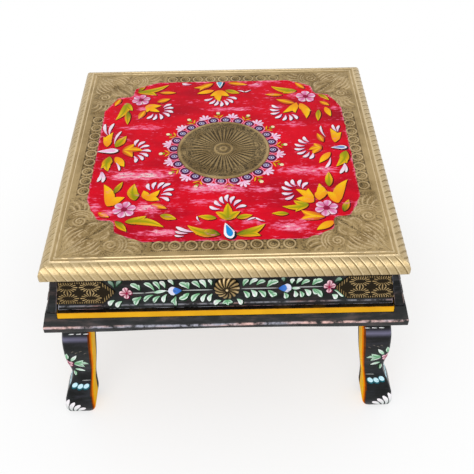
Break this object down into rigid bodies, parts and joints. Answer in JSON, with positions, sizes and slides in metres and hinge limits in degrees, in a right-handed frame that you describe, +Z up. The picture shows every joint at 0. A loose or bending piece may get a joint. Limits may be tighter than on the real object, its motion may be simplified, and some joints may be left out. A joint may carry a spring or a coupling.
{
  "type": "low table with drawer",
  "caption": "Low square table with a painted top edged in embossed brass, a drawer with a fluted flower knob, a moulded plinth and cabriole legs.",
  "frame": {"origin": "on the floor, under the middle of the table", "axes": "+Z up, -Y is the drawer's side, +X to the right as seen from the front"},
  "size_m": [0.401, 0.401, 0.251],
  "materials": {
    "red_paint": "worn gloss paint with flower motifs",
    "black_paint": "worn gloss paint with flower motifs",
    "yellow_paint": "gloss paint shaded with dark brown",
    "bare_wood": "unpainted, planed",
    "brass": "embossed sheet, tarnished in the hollows",
    "steel": "plain screw steel"
  },
  "bodies": {
    "table": {"top_board": "red_paint", "brass_border_front": "brass", "brass_border_right": "brass", "brass_border_back": "brass", "brass_border_left": "brass", "brass_medallion": "brass", "plinth_front": "black_paint", "plinth_right": "black_paint", "plinth_back": "black_paint", "plinth_left": "black_paint", "front_rail": "yellow_paint", "base_panel": "bare_wood", "side_wall_right": "black_paint", "side_wall_left": "black_paint", "back_wall": "black_paint", "drawer_guide_right": "bare_wood", "drawer_guide_left": "bare_wood", "right_plate_front": "brass", "right_plate_back": "brass", "back_plate_right": "brass", "back_plate_left": "brass", "left_plate_back": "brass", "left_plate_front": "brass", "leg_back_right": "black_paint", "leg_back_left": "black_paint", "leg_front_left": "black_paint", "leg_front_right": "black_paint"},
    "drawer": {"drawer_front": "black_paint", "drawer_side_right": "bare_wood", "drawer_side_left": "bare_wood", "drawer_back": "bare_wood", "drawer_bottom": "bare_wood", "drawer_knob": "brass", "knob_screw": "steel", "drawer_plate_left": "brass", "drawer_plate_right": "brass"}
  },
  "joints": [
    {"name": "drawer_slide", "type": "slide", "parent": "table", "child": "drawer", "axis": [0, -1, 0], "range_m": [0, 0.23]}
  ]
}
